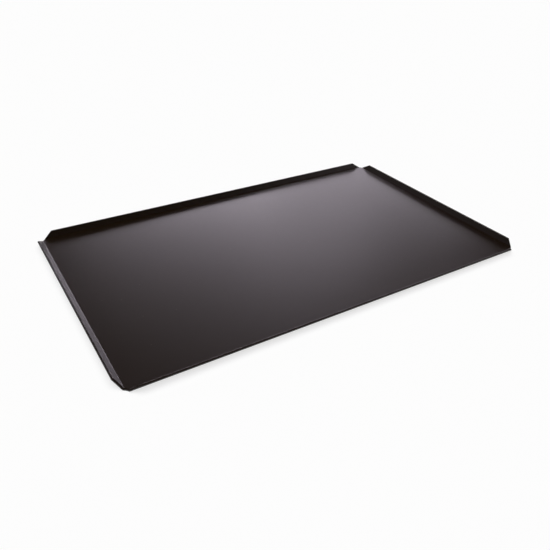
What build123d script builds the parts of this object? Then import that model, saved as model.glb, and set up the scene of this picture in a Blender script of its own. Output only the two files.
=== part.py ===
from build123d import *
import os
from math import cos, radians, sin, tan

# Overall sizes of the folded tray, in millimetres
overall_length = 530.0
overall_width = 325.0
overall_height = 8.7

# The laminate: rolled aluminium with a baked-on film on both faces and over the cut edges
sheet_thickness = 2.0
coating_thickness = 0.1

# The folded edges: slope in degrees from the flat base, radius on the baking side
flange_slope = 48.0
inside_bend_radius = 1.2

# The notched corners of the flat blank, before folding
flange_end_inset = 21.4  # from the overall outline to the end of a flange's upper edge
notch_slope = 41.0  # degrees between a flange's upper edge and its cut end
flange_tip_radius = 0.8
nose_inset = 6.3  # from the bend lines to the centre of the base's rounded corner
nose_radius = 7.8

cut_overrun = 20.0  # how far every cutting tool reaches past the sheet

# Worked out from the sizes above
slope = radians(flange_slope)
full_thickness = sheet_thickness + 2 * coating_thickness
bend_rise = inside_bend_radius * (1 - cos(slope))
straight_length = (overall_height - full_thickness - bend_rise) / sin(slope)
flange_run = inside_bend_radius * sin(slope) + straight_length * cos(slope)
outer_run = flange_run + full_thickness * sin(slope)
half_length = overall_length / 2 - outer_run  # from the centre to the bend line of a short side
half_width = overall_width / 2 - outer_run  # from the centre to the bend line of a long side
tip_offset = flange_end_inset - outer_run  # from the neighbouring bend line to a flange's tip


def fold_section(bend_line, top_depth, low_depth, inset):
    """Section of a folded edge between two depths below the baking face, its rim set back by inset."""
    straight = straight_length - inset

    def spot(depth, angle, along=0):
        reach = inside_bend_radius + depth
        across = reach * sin(angle) + along * cos(angle)
        height = full_thickness + inside_bend_radius - reach * cos(angle) + along * sin(angle)
        return Vector(0, bend_line + across, height)

    top_arc = ThreePointArc(spot(top_depth, 0), spot(top_depth, slope / 2), spot(top_depth, slope))
    low_arc = ThreePointArc(spot(low_depth, 0), spot(low_depth, slope / 2), spot(low_depth, slope))
    outline = [
        top_arc,
        Line(spot(top_depth, slope), spot(top_depth, slope, straight)),
        Line(spot(top_depth, slope, straight), spot(low_depth, slope, straight)),
        Line(spot(low_depth, slope, straight), spot(low_depth, slope)),
        low_arc,
        Line(spot(low_depth, 0), spot(top_depth, 0)),
    ]
    return make_face(outline)


def flange_face(bend_line, edge_half, inset):
    """The flange seen square on: its upper edge, rounded tips and slanting cut ends."""
    depth = cut_overrun + straight_length
    spread = depth / tan(radians(notch_slope))
    tip = edge_half - tip_offset
    corners = [(-tip, 0), (tip, 0), (tip + spread, -depth), (-tip - spread, -depth)]
    flat = make_face(Polyline(*corners, close=True))
    flat = fillet(flat.vertices().group_by(Axis.Y)[-1], flange_tip_radius)
    if inset:
        flat = offset(flat, -inset)
    rim = (0, bend_line + flange_run, overall_height)
    return Plane(origin=rim, x_dir=(1, 0, 0), z_dir=(0, -sin(slope), cos(slope))) * flat


def folded_side(bend_line, edge_half, top_depth, low_depth, inset):
    """One bend and its flange on the +Y side, with both ends notched."""
    section = fold_section(bend_line, top_depth, low_depth, inset)
    side = extrude(section, edge_half, dir=(1, 0, 0), both=True)
    kept = extrude(flange_face(bend_line, edge_half, inset), cut_overrun, both=True)
    ledge = bend_line + nose_radius - nose_inset - inset
    tool_size = (2 * (edge_half + cut_overrun), cut_overrun, 2 * cut_overrun)
    tool = Pos(0, ledge, 0) * Box(*tool_size, align=(Align.CENTER, Align.MIN, Align.CENTER))
    return side - (tool - kept)


def corner_tool(inset):
    """Everything outside the base's rounded nose, at the +X +Y corner."""
    size = nose_inset + cut_overrun
    centre = Pos(half_length - nose_inset, half_width - nose_inset, 0)
    block = Box(size, size, 2 * cut_overrun, align=(Align.MIN, Align.MIN, Align.CENTER))
    return centre * (block - Cylinder(nose_radius - inset, 2 * cut_overrun))


def tray_pieces(top_depth, low_depth, inset):
    """The flat base and the four folded edges between two depths of the laminate, notched at the corners."""
    thickness = low_depth - top_depth
    slab = Box(2 * half_length, 2 * half_width, thickness, align=(Align.CENTER, Align.CENTER, Align.MIN))
    pieces = [Pos(0, 0, full_thickness - low_depth) * slab]
    long_side = folded_side(half_width, half_length, top_depth, low_depth, inset)
    short_side = folded_side(half_length, half_width, top_depth, low_depth, inset)
    for turn in (0, 180):
        pieces.append(Rot(0, 0, turn) * long_side)
        pieces.append(Rot(0, 0, turn + 90) * short_side)
    corner = corner_tool(inset)
    right_corners = [corner, mirror(corner, Plane.XZ)]
    left_corners = [mirror(cutter, Plane.YZ) for cutter in right_corners]
    return [piece - right_corners - left_corners for piece in pieces]


def tray_layer(top_depth, low_depth, inset):
    """The same pieces as one sheet."""
    base, *folded_edges = tray_pieces(top_depth, low_depth, inset)
    return base + folded_edges


# The bare sheet lies between the two films
low_face = full_thickness - coating_thickness
aluminium_sheet = tray_layer(coating_thickness, low_face, coating_thickness)

# The baking side's film also wraps the cut edges, down to the underside's film
baking_side_coating = tray_layer(0, low_face, 0) - aluminium_sheet

# The underside's film is parted along the bend lines, so that each stretch of it is a plain shape
underside_coating = Compound(tray_pieces(low_face, full_thickness, 0))

nodes = {
    "aluminium_sheet": aluminium_sheet,
    "baking_side_coating": baking_side_coating,
    "underside_coating": underside_coating,
}

os.makedirs("parts", exist_ok=True)
for name, shape in nodes.items():
    export_step(shape, f"parts/{name}.step")
    print(name, len(shape.solids()), "solid", round(shape.volume), "cubic mm")
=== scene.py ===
from math import atan2, cos, pi, radians, sin, sqrt, tan

import bmesh
import bpy
from mathutils import Matrix, Vector


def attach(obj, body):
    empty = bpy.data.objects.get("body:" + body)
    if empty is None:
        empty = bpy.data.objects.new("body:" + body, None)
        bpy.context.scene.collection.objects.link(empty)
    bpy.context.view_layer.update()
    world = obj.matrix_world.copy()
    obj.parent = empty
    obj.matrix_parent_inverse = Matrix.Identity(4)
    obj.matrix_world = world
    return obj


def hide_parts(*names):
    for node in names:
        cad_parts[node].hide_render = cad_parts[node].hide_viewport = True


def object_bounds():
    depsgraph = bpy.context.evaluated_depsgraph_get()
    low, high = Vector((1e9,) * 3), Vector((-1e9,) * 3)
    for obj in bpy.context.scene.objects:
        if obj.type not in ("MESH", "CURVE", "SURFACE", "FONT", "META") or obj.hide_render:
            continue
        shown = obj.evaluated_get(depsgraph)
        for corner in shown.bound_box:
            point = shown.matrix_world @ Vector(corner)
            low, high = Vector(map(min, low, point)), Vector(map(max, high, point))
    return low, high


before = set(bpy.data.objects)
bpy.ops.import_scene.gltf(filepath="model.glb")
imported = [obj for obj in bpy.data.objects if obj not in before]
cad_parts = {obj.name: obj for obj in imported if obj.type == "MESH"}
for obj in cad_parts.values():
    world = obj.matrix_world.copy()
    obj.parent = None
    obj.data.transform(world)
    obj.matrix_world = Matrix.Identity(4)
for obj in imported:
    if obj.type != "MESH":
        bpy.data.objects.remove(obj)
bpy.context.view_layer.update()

mm = 0.001

# The folded sheet. Its outside length, width and height come from the frame.
sheet = {
    "thickness": 2.2 * mm,  # metal and both coats
    "coat": 0.1 * mm,
    "flangeSlope": 48.0,  # degrees from the flat base
    "bendRadius": 1.2 * mm,  # on the baking side
    "bendSteps": 12,
    "bendSupport": 0.6 * mm,  # flat row kept each side of a bend, so that its shading ends there
    "upperEdgeRadius": 1.1 * mm,  # the cut edge, deburred and softened by the coat
    "lowerEdgeRadius": 0.2 * mm,
    "edgeSteps": 5,
    "edgeSupport": 0.3 * mm,  # flat ring kept inside the rounded edge
    "sliceTolerance": 1e-7,  # metres
}

# The corner notch, in the flat blank
notch = {
    "flangeEndInset": 21.4 * mm,  # from the overall outline to the flange's sharp tip
    "cutSlope": 41.0,  # degrees between a flange's upper edge and its cut end
    "tipRadius": 0.8 * mm,
    "filletRadius": 5.0 * mm,  # hollow curve from the cut end into the nose
    "noseInset": 6.3 * mm,  # from both bend lines to the centre of the base's rounded corner
    "noseRadius": 7.8 * mm,
    "arcStep": 6.0,  # degrees
}

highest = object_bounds()[1]  # the upper corner of the CAD box
slope = radians(sheet["flangeSlope"])
bendRun = sheet["bendRadius"] * slope  # length of a bend along the baking side
bendRise = sheet["bendRadius"] * (1 - cos(slope))
rimDrop = sheet["upperEdgeRadius"] * (sin(slope) + cos(slope) - 1)  # what the rounding takes off the rim
flangeLength = (highest.z + rimDrop - sheet["thickness"] - bendRise) / sin(slope)  # straight part
edgeReach = (sheet["bendRadius"] * sin(slope) + flangeLength * cos(slope)
             + sheet["thickness"] * sin(slope))
halfLength = highest.x - edgeReach  # from the centre to the bend line of a short side
halfWidth = highest.y - edgeReach
blankReach = bendRun + flangeLength  # from a bend line to the edge of the flat blank


# sRGB hex to linear
def colour(code):
    channels = [int(code[place:place + 2], 16) / 255 for place in (1, 3, 5)]
    linear = [c / 12.92 if c <= 0.04045 else ((c + 0.055) / 1.055) ** 2.4 for c in channels]
    return (*linear, 1.0)


mixA, mixB, mixResult = 6, 7, 2  # a Mix node's two colour inputs and its colour output


# Adds a node, sets its properties, and links or sets its inputs
def addNode(tree, kind, inputs=None, **settings):
    node = tree.nodes.new(kind)
    for name, value in settings.items():
        setattr(node, name, value)
    for socket, value in (inputs or {}).items():
        if isinstance(value, bpy.types.NodeSocket):
            tree.links.new(value, node.inputs[socket])
        else:
            node.inputs[socket].default_value = value
    return node


def emptyMaterial(name):
    material = bpy.data.materials.new(name)
    material.use_nodes = True
    material.node_tree.nodes.clear()
    return material


# Points of an arc with their outward normals; inward is -1 for a hollow arc
def arc(centre, radius, startAngle, endAngle, inward=1):
    steps = max(1, round(abs(endAngle - startAngle) / radians(notch["arcStep"])))
    found = []
    for step in range(steps + 1):
        angle = startAngle + (endAngle - startAngle) * step / steps
        ray = Vector((cos(angle), sin(angle)))
        found.append((centre + ray * radius, ray * inward))
    return found


# One notch of the blank, from the +X flange's tip round the nose to the +Y flange's tip.
# Its own axes start at the crossing of the two bend lines.
def notchCurve():
    cut = radians(notch["cutSlope"])
    tip = Vector((blankReach, -(notch["flangeEndInset"] - edgeReach)))
    along = Vector((-sin(cut), cos(cut)))
    outward = Vector((cos(cut), sin(cut)))
    tipRadius = notch["tipRadius"]
    tipCentre = tip - Vector((tipRadius, tipRadius * tan(cut / 2)))
    nose = Vector((-notch["noseInset"], -notch["noseInset"]))
    # The hollow fillet touches the cut end and the nose
    reach = notch["noseRadius"] + notch["filletRadius"]
    start = tip + outward * notch["filletRadius"] - nose
    middle = start.dot(along)
    travel = -middle - sqrt(middle ** 2 - start.length_squared + reach ** 2)
    filletCentre = tip + outward * notch["filletRadius"] + along * travel
    fromNose = filletCentre - nose
    noseAngle = atan2(fromNose.y, fromNose.x)
    half = arc(tipCentre, tipRadius, 0, cut)
    half += arc(filletCentre, notch["filletRadius"], cut + pi, noseAngle + pi, inward=-1)
    half += arc(nose, notch["noseRadius"], noseAngle, pi / 4)[1:]
    mirrored = [(Vector((p.y, p.x)), Vector((n.y, n.x))) for p, n in reversed(half)]
    return half + mirrored[1:]


# The whole outline of the blank, anticlockwise
def blankOutline():
    quarter = [(p + Vector((halfLength, halfWidth)), n) for p, n in notchCurve()]
    outline = []
    for x, y in ((1, 1), (-1, 1), (-1, -1), (1, -1)):
        turned = [(Vector((p.x * x, p.y * y)), Vector((n.x * x, n.y * y))) for p, n in quarter]
        outline += turned if x * y > 0 else turned[::-1]
    return outline


# A flat layer of the laminate: rings of (inset, depth) joined from the top face round to the bottom
def flatLayer(name, rings):
    mesh = bmesh.new()
    outline = blankOutline()
    loops = []
    for inset, depth in rings:
        loops.append([mesh.verts.new((*(p - n * inset), -depth)) for p, n in outline])
    mesh.faces.new(loops[0])
    mesh.faces.new(loops[-1][::-1])
    for upper, lower in zip(loops, loops[1:]):
        for here, there in zip(range(-1, len(outline) - 1), range(len(outline))):
            mesh.faces.new((upper[here], lower[here], lower[there], upper[there]))
    rows = [-sheet["bendSupport"], bendRun + sheet["bendSupport"]]
    rows += [bendRun * step / sheet["bendSteps"] for step in range(sheet["bendSteps"] + 1)]
    for axis, half in ((Vector((1, 0, 0)), halfLength), (Vector((0, 1, 0)), halfWidth)):
        for row in rows:
            for side in (-1, 1):
                parts = mesh.verts[:] + mesh.edges[:] + mesh.faces[:]
                bmesh.ops.bisect_plane(mesh, geom=parts, dist=sheet["sliceTolerance"],
                                       plane_co=axis * side * (half + row), plane_no=axis)
    data = bpy.data.meshes.new(name)
    mesh.to_mesh(data)
    mesh.free()
    piece = bpy.data.objects.new(name, data)
    bpy.context.scene.collection.objects.link(piece)
    return piece


# Geometry Nodes group: bends one axis of the blank about its two bend lines
def bendAxisGroup():
    group = bpy.data.node_groups.new("bendAxis", "GeometryNodeTree")
    sockets = group.interface
    for name in ("Place", "Depth", "Half Reach", "Bend Radius", "Flange Slope"):
        sockets.new_socket(name, in_out="INPUT", socket_type="NodeSocketFloat")
    for name in ("Place", "Lift"):
        sockets.new_socket(name, in_out="OUTPUT", socket_type="NodeSocketFloat")
    # One Math node for each row: the result's name, the operation and its inputs.
    # Names that start with a capital are the group's own inputs.
    sums = [
        ("distance", "ABSOLUTE", "Place"),
        ("overrun", "SUBTRACT", "distance", "Half Reach"),
        ("past", "MAXIMUM", "overrun", 0.0),  # how far past the bend line, along the flat blank
        ("turn", "DIVIDE", "past", "Bend Radius"),
        ("angle", "MINIMUM", "turn", "Flange Slope"),
        ("bent", "MULTIPLY", "angle", "Bend Radius"),
        ("straight", "SUBTRACT", "past", "bent"),  # the part of it beyond the bend
        ("reach", "ADD", "Bend Radius", "Depth"),
        ("sine", "SINE", "angle"),
        ("cosine", "COSINE", "angle"),
        ("bendAcross", "MULTIPLY", "reach", "sine"),
        ("straightAcross", "MULTIPLY", "straight", "cosine"),
        ("across", "ADD", "bendAcross", "straightAcross"),
        ("fall", "SUBTRACT", 1.0, "cosine"),
        ("bendLift", "MULTIPLY", "reach", "fall"),
        ("straightLift", "MULTIPLY", "straight", "sine"),
        ("lift", "ADD", "bendLift", "straightLift"),
        ("flat", "MINIMUM", "distance", "Half Reach"),
        ("outward", "ADD", "flat", "across"),
        ("side", "SIGN", "Place"),
        ("place", "MULTIPLY", "side", "outward"),
    ]
    found = {socket.name: socket for socket in addNode(group, "NodeGroupInput").outputs}
    for result, operation, *values in sums:
        inputs = {index: found.get(value, value) for index, value in enumerate(values)}
        found[result] = addNode(group, "ShaderNodeMath", inputs, operation=operation).outputs[0]
    addNode(group, "NodeGroupOutput", {"Place": found["place"], "Lift": found["lift"]})
    return group


# Geometry Nodes tree: folds a flat layer up on all four sides
def foldTree():
    tree = bpy.data.node_groups.new("foldSheet", "GeometryNodeTree")
    sockets = tree.interface
    sockets.new_socket("Geometry", in_out="INPUT", socket_type="NodeSocketGeometry")
    for name in ("Half Length", "Half Width", "Thickness", "Bend Radius", "Flange Slope"):
        sockets.new_socket(name, in_out="INPUT", socket_type="NodeSocketFloat")
    sockets.new_socket("Finish", in_out="INPUT", socket_type="NodeSocketMaterial")
    sockets.new_socket("Geometry", in_out="OUTPUT", socket_type="NodeSocketGeometry")
    given = addNode(tree, "NodeGroupInput").outputs
    flat = addNode(tree, "GeometryNodeInputPosition").outputs[0]
    place = addNode(tree, "ShaderNodeSeparateXYZ", {0: flat}).outputs
    depth = addNode(tree, "ShaderNodeMath", {0: place["Z"], 1: -1.0}, operation="MULTIPLY").outputs[0]
    bendAxis = bendAxisGroup()
    folded = []
    for axis, half in (("X", "Half Length"), ("Y", "Half Width")):
        folded.append(addNode(tree, "GeometryNodeGroup", {
            "Place": place[axis], "Depth": depth, "Half Reach": given[half],
            "Bend Radius": given["Bend Radius"], "Flange Slope": given["Flange Slope"],
        }, node_tree=bendAxis).outputs)
    lift = addNode(tree, "ShaderNodeMath", {0: folded[0]["Lift"], 1: folded[1]["Lift"]}).outputs[0]
    level = addNode(tree, "ShaderNodeMath", {0: given["Thickness"], 1: place["Z"]}).outputs[0]
    height = addNode(tree, "ShaderNodeMath", {0: level, 1: lift}).outputs[0]
    target = addNode(tree, "ShaderNodeCombineXYZ",
                     {0: folded[0]["Place"], 1: folded[1]["Place"], 2: height}).outputs[0]
    moved = addNode(tree, "GeometryNodeSetPosition",
                    {"Geometry": given["Geometry"], "Position": target}).outputs[0]
    smooth = addNode(tree, "GeometryNodeSetShadeSmooth", {"Geometry": moved}).outputs[0]
    real = addNode(tree, "GeometryNodeRealizeInstances", {"Geometry": smooth}).outputs[0]
    finished = addNode(tree, "GeometryNodeSetMaterial",
                       {"Geometry": real, "Material": given["Finish"]}).outputs[0]
    addNode(tree, "NodeGroupOutput", {"Geometry": finished})
    return tree


# Folds a flat layer, keeps the result as a plain mesh and puts it in the CAD node's place
def foldLayer(piece, tree, finish, node):
    fold = piece.modifiers.new("fold", "NODES")
    fold.node_group = tree
    values = {
        "Half Length": halfLength, "Half Width": halfWidth, "Thickness": sheet["thickness"],
        "Bend Radius": sheet["bendRadius"], "Flange Slope": slope, "Finish": finish,
    }
    for item in tree.interface.items_tree:
        if item.in_out == "INPUT" and item.name in values:
            fold[item.identifier] = values[item.name]
    evaluated = piece.evaluated_get(bpy.context.evaluated_depsgraph_get())
    mesh = bpy.data.meshes.new_from_object(evaluated)
    piece.modifiers.remove(fold)
    piece.data = mesh
    mesh.name = piece.name
    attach(piece, "root")
    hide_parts(node)
    print(piece.name, len(mesh.polygons), "faces")


# Ring rows of a rounded edge, from the flat face to the cut face.
# upward is true where the flat face is the upper one.
def edgeRound(radius, inset, depth, upward):
    rows = []
    steps = sheet["edgeSteps"]
    for step in range(steps + 1):
        angle = pi / 2 * step / steps
        side = radius * (1 - sin(angle))
        drop = radius * (1 - cos(angle))
        rows.append((inset + side, depth + drop if upward else depth - drop))
    return rows


# Non-stick coat: fluoropolymer, sprayed on and sintered.
# Satin black with a faint warm cast. The spray leaves a fine orange peel, and dim mica flecks lie in it.
nonstick = {
    "colour": "#130a03",
    "thinColour": "#180f06",
    "cloudSize": 60 * mm,  # slow change in the coat's thickness
    "cloudDetail": 3.0,
    "roughness": 0.35,
    "roughnessChange": 0.02,
    "roughnessSize": 6.4 * mm,
    "roughnessDetail": 2.0,
    "peelSize": 1.6 * mm,
    "peelDetail": 2.0,
    "peelHeight": 0.004 * mm,
    "grainSize": 0.5 * mm,
    "grainDetail": 1.0,
    "grainHeight": 0.0012 * mm,
    "fleckSpacing": 9 * mm,
    "fleckSize": 0.45 * mm,  # radius, drawn coarser than real mica, which is too fine to show
    "fleckShare": 0.3,  # how many of the places hold a fleck
    "fleckColour": "#4b4540",
    "ior": 1.5,
}


def nonstickCoat(name, look):
    material = emptyMaterial(name)
    tree = material.node_tree
    place = addNode(tree, "ShaderNodeTexCoord").outputs["Object"]

    noise = {}
    for change in ("cloud", "roughness", "peel", "grain"):
        noise[change] = addNode(tree, "ShaderNodeTexNoise", {
            "Vector": place, "Scale": 1 / look[change + "Size"], "Detail": look[change + "Detail"],
        }).outputs[0]
    tint = addNode(tree, "ShaderNodeMix", {
        "Factor": noise["cloud"], mixA: colour(look["colour"]), mixB: colour(look["thinColour"]),
    }, data_type="RGBA").outputs[mixResult]
    cells = addNode(tree, "ShaderNodeTexVoronoi", {
        "Vector": place, "Scale": 1 / look["fleckSpacing"],
    }).outputs
    near = addNode(tree, "ShaderNodeMath", {
        0: cells["Distance"], 1: look["fleckSize"] / look["fleckSpacing"],
    }, operation="LESS_THAN").outputs[0]
    chosen = addNode(tree, "ShaderNodeMath", {
        0: addNode(tree, "ShaderNodeSeparateColor", {0: cells["Color"]}).outputs[0],
        1: look["fleckShare"],
    }, operation="LESS_THAN").outputs[0]
    fleck = addNode(tree, "ShaderNodeMath", {0: near, 1: chosen}, operation="MULTIPLY").outputs[0]
    flecked = addNode(tree, "ShaderNodeMix", {
        "Factor": fleck, mixA: tint, mixB: colour(look["fleckColour"]),
    }, data_type="RGBA").outputs[mixResult]
    roughness = addNode(tree, "ShaderNodeMapRange", {
        "Value": noise["roughness"], "To Min": look["roughness"] - look["roughnessChange"],
        "To Max": look["roughness"] + look["roughnessChange"],
    }).outputs[0]
    peel = addNode(tree, "ShaderNodeBump", {
        "Height": noise["peel"], "Distance": look["peelHeight"],
    }).outputs[0]
    grain = addNode(tree, "ShaderNodeBump", {
        "Height": noise["grain"], "Distance": look["grainHeight"], "Normal": peel,
    }).outputs[0]
    shader = addNode(tree, "ShaderNodeBsdfPrincipled", {
        "Base Color": flecked, "Roughness": roughness, "IOR": look["ior"], "Normal": grain,
    }).outputs[0]
    addNode(tree, "ShaderNodeOutputMaterial", {"Surface": shader})
    return material


# Cold-rolled aluminium sheet: pale grey metal with fine straight roll lines along its length
rolled = {
    "colour": "#d6d7d8",
    "lineWidth": 0.25 * mm,
    "lineLength": 40 * mm,
    "lineDetail": 3.0,
    "roughness": 0.32,
    "roughnessChange": 0.08,
    "lineHeight": 0.002 * mm,
}


def rolledAluminium(name, look):
    material = emptyMaterial(name)
    tree = material.node_tree
    place = addNode(tree, "ShaderNodeTexCoord").outputs["Object"]
    drawn = addNode(tree, "ShaderNodeMapping", {
        "Vector": place, "Scale": (1 / look["lineLength"], 1 / look["lineWidth"], 1 / look["lineWidth"]),
    }).outputs[0]
    lines = addNode(tree, "ShaderNodeTexNoise", {
        "Vector": drawn, "Scale": 1.0, "Detail": look["lineDetail"],
    }).outputs[0]
    change = look["roughnessChange"]
    roughness = addNode(tree, "ShaderNodeMapRange", {
        "Value": lines, "To Min": look["roughness"] - change, "To Max": look["roughness"] + change,
    }).outputs[0]
    bump = addNode(tree, "ShaderNodeBump", {"Height": lines, "Distance": look["lineHeight"]}).outputs[0]
    shader = addNode(tree, "ShaderNodeBsdfPrincipled", {
        "Base Color": colour(look["colour"]), "Metallic": 1.0, "Roughness": roughness, "Normal": bump,
    }).outputs[0]
    addNode(tree, "ShaderNodeOutputMaterial", {"Surface": shader})
    return material


# The three layers share one outline and one fold
coat = sheet["coat"]
underside = sheet["thickness"]
lowerFace = underside - coat
top = sheet["upperEdgeRadius"]
low = sheet["lowerEdgeRadius"]
rim = edgeRound(top, 0, 0, upward=True)
innerRim = edgeRound(top - coat, coat, coat, upward=True)
foot = edgeRound(low, 0, underside, upward=False)
innerFoot = edgeRound(low - coat, coat, lowerFace, upward=False)
flatInset = top + sheet["edgeSupport"]

tree = foldTree()
bakingFinish = nonstickCoat("sinteredNonstickBakingSide", nonstick)
undersideFinish = nonstickCoat("sinteredNonstickUnderside", nonstick)
sheetFinish = rolledAluminium("rolledAluminium", rolled)

bakingCoat = flatLayer("bakingSideCoat", [
    (flatInset, 0), *rim, foot[-1], innerFoot[-1], *innerRim[::-1], (flatInset, coat),
])
foldLayer(bakingCoat, tree, bakingFinish, "baking_side_coating")

undersideCoat = flatLayer("undersideCoat", [
    (flatInset, lowerFace), *innerFoot, *foot[::-1], (flatInset, underside),
])
foldLayer(undersideCoat, tree, undersideFinish, "underside_coating")

metalCore = flatLayer("aluminiumCore", [
    (flatInset, coat), *innerRim, *innerFoot[::-1], (flatInset, lowerFace),
])
foldLayer(metalCore, tree, sheetFinish, "aluminium_sheet")

# Studio: a pale floor, a broad overhead light, dim surroundings
studio = {
    "floorSize": 40.0,  # metres
    "floorDrop": 0.05 * mm,  # keeps the floor clear of the underside
    "floorColour": "#fdfdfd",
    "floorGlow": 0.72,  # share of plain white in the floor as seen, which keeps its shadow soft
    "surroundings": 0.028,  # 1 is the brightness of a lit white sheet
    "surroundingsColour": "#f8f4f0",
    "backdropColour": "#fdfdfd",
    "overheadLevel": 0.92,  # 1 shows a colour about as it is written
    "overheadSpread": 80.0,  # degrees across
    "softboxColour": "#faf0fe",
}

# Panels that show in the gloss alone: a soft light behind the tray and dim fills round it.
# Azimuths turn from +Y towards +X; sizes and distances are in metres; a brightness of 1 is plain white.
softboxes = [
    {"name": "rearSoftboxLeft", "azimuth": 32.0, "distance": 2.56, "across": -1.00, "foot": 0.36,
     "width": 0.52, "height": 0.49, "brightness": 7.8},
    {"name": "rearSoftboxRight", "azimuth": 32.0, "distance": 2.60, "across": 0.62, "foot": 0.33,
     "width": 1.36, "height": 0.48, "brightness": 5.8},
    {"name": "rearSoftboxMiddle", "azimuth": 32.0, "distance": 2.64, "across": -0.39, "foot": 0.54,
     "width": 0.72, "height": 0.43, "brightness": 10.0},
    {"name": "rearSoftboxHigh", "azimuth": 32.0, "distance": 2.68, "across": 0.26, "foot": 1.38,
     "width": 0.78, "height": 0.13, "brightness": 10.8},
    {"name": "rightFill", "azimuth": 112.0, "distance": 2.60, "across": 0.0, "foot": 1.30,
     "width": 2.60, "height": 1.40, "brightness": 0.6},
    {"name": "leftFill", "azimuth": 315.0, "distance": 2.60, "across": 0.0, "foot": 1.50,
     "width": 2.20, "height": 1.20, "brightness": 0.42},
    {"name": "frontFillLow", "azimuth": 212.0, "distance": 2.60, "across": 0.0, "foot": 0.30,
     "width": 2.40, "height": 1.00, "brightness": 0.7},
    {"name": "leftFillLow", "azimuth": 275.0, "distance": 2.60, "across": 0.0, "foot": 0.30,
     "width": 1.80, "height": 0.80, "brightness": 0.45},
]


def makeFloor():
    size = studio["floorSize"] / 2
    mesh = bpy.data.meshes.new("studioFloor")
    level = -studio["floorDrop"]
    corners = [(-size, -size, level), (size, -size, level), (size, size, level), (-size, size, level)]
    mesh.from_pydata(corners, [], [(0, 1, 2, 3)])
    floor = bpy.data.objects.new("studioFloor", mesh)
    bpy.context.scene.collection.objects.link(floor)
    material = emptyMaterial("paintedFloor")
    tree = material.node_tree
    seen = addNode(tree, "ShaderNodeMath", {
        0: addNode(tree, "ShaderNodeLightPath").outputs["Is Camera Ray"], 1: studio["floorGlow"],
    }, operation="MULTIPLY").outputs[0]
    paint = addNode(tree, "ShaderNodeBsdfDiffuse", {"Color": colour(studio["floorColour"])}).outputs[0]
    white = addNode(tree, "ShaderNodeEmission", {"Color": colour("#ffffff"), "Strength": 1.0}).outputs[0]
    mixed = addNode(tree, "ShaderNodeMixShader", {0: seen, 1: paint, 2: white}).outputs[0]
    addNode(tree, "ShaderNodeOutputMaterial", {"Surface": mixed})
    mesh.materials.append(material)


# One upright panel, turned towards the tray
def makeSoftbox(look):
    azimuth = radians(look["azimuth"])
    away = Vector((sin(azimuth), cos(azimuth), 0))
    aside = Vector((cos(azimuth), -sin(azimuth), 0))
    lamp = bpy.data.lights.new(look["name"], "AREA")
    lamp.shape = "RECTANGLE"
    lamp.size = look["width"]
    lamp.size_y = look["height"]
    lamp.energy = look["brightness"] * pi * look["width"] * look["height"]
    lamp.color = colour(studio["softboxColour"])[:3]
    holder = bpy.data.objects.new(look["name"], lamp)
    holder.location = away * look["distance"] + aside * look["across"]
    holder.location.z = look["foot"] + look["height"] / 2
    holder.rotation_euler = (-away).to_track_quat("-Z", "Y").to_euler()
    holder.visible_camera = False
    holder.visible_diffuse = False
    bpy.context.scene.collection.objects.link(holder)


# The overhead light reaches the floor and the coat's own colour, and shows in no reflection
def makeOverheadLight():
    lamp = bpy.data.lights.new("overheadLight", "SUN")
    lamp.energy = studio["overheadLevel"] * pi
    lamp.angle = radians(studio["overheadSpread"])
    holder = bpy.data.objects.new("overheadLight", lamp)
    holder.visible_glossy = False
    bpy.context.scene.collection.objects.link(holder)


# The camera sees a white backdrop above the floor; the coat's gloss sees the dim room
def makeSurroundings():
    world = bpy.data.worlds.new("studioSurroundings")
    world.use_nodes = True
    tree = world.node_tree
    tree.nodes.clear()
    seen = addNode(tree, "ShaderNodeLightPath").outputs["Is Camera Ray"]
    room = addNode(tree, "ShaderNodeBackground", {
        "Color": colour(studio["surroundingsColour"]), "Strength": studio["surroundings"],
    }).outputs[0]
    backdrop = addNode(tree, "ShaderNodeBackground", {
        "Color": colour(studio["backdropColour"]), "Strength": 1.0,
    }).outputs[0]
    mixed = addNode(tree, "ShaderNodeMixShader", {0: seen, 1: room, 2: backdrop}).outputs[0]
    addNode(tree, "ShaderNodeOutputWorld", {"Surface": mixed})
    bpy.context.scene.world = world


# The photo's camera: angles in degrees, place from the middle of the underside
camera = {
    "azimuth": -32.698,
    "elevation": 32.779,
    "roll": 1.851,
    "place": (-345.654 * mm, -529.674 * mm, 362.123 * mm),
    "focalPixels": 569.557,
    "imagePixels": 550,
    "sensor": 36.0,  # millimetres wide
    "clipEnd": 100.0,  # metres
}


def makeCamera():
    azimuth = radians(camera["azimuth"])
    elevation = radians(camera["elevation"])
    roll = radians(camera["roll"])
    right = Vector((cos(azimuth), sin(azimuth), 0))
    back = Vector((sin(azimuth) * cos(elevation), -cos(azimuth) * cos(elevation), sin(elevation)))
    up = back.cross(right)
    rolledRight = right * cos(roll) + up * sin(roll)
    rolledUp = up * cos(roll) - right * sin(roll)
    lens = bpy.data.cameras.new("photoCamera")
    lens.sensor_width = camera["sensor"]
    lens.lens = camera["focalPixels"] / camera["imagePixels"] * camera["sensor"]
    lens.clip_end = camera["clipEnd"]
    holder = bpy.data.objects.new("photoCamera", lens)
    holder.matrix_world = (Matrix.Translation(camera["place"])
                           @ Matrix((rolledRight, rolledUp, back)).transposed().to_4x4())
    bpy.context.scene.collection.objects.link(holder)
    bpy.context.scene.camera = holder


makeFloor()
for look in softboxes:
    makeSoftbox(look)
makeOverheadLight()
makeSurroundings()
makeCamera()
bpy.context.scene.view_settings.view_transform = "Standard"
print("studio and camera made")
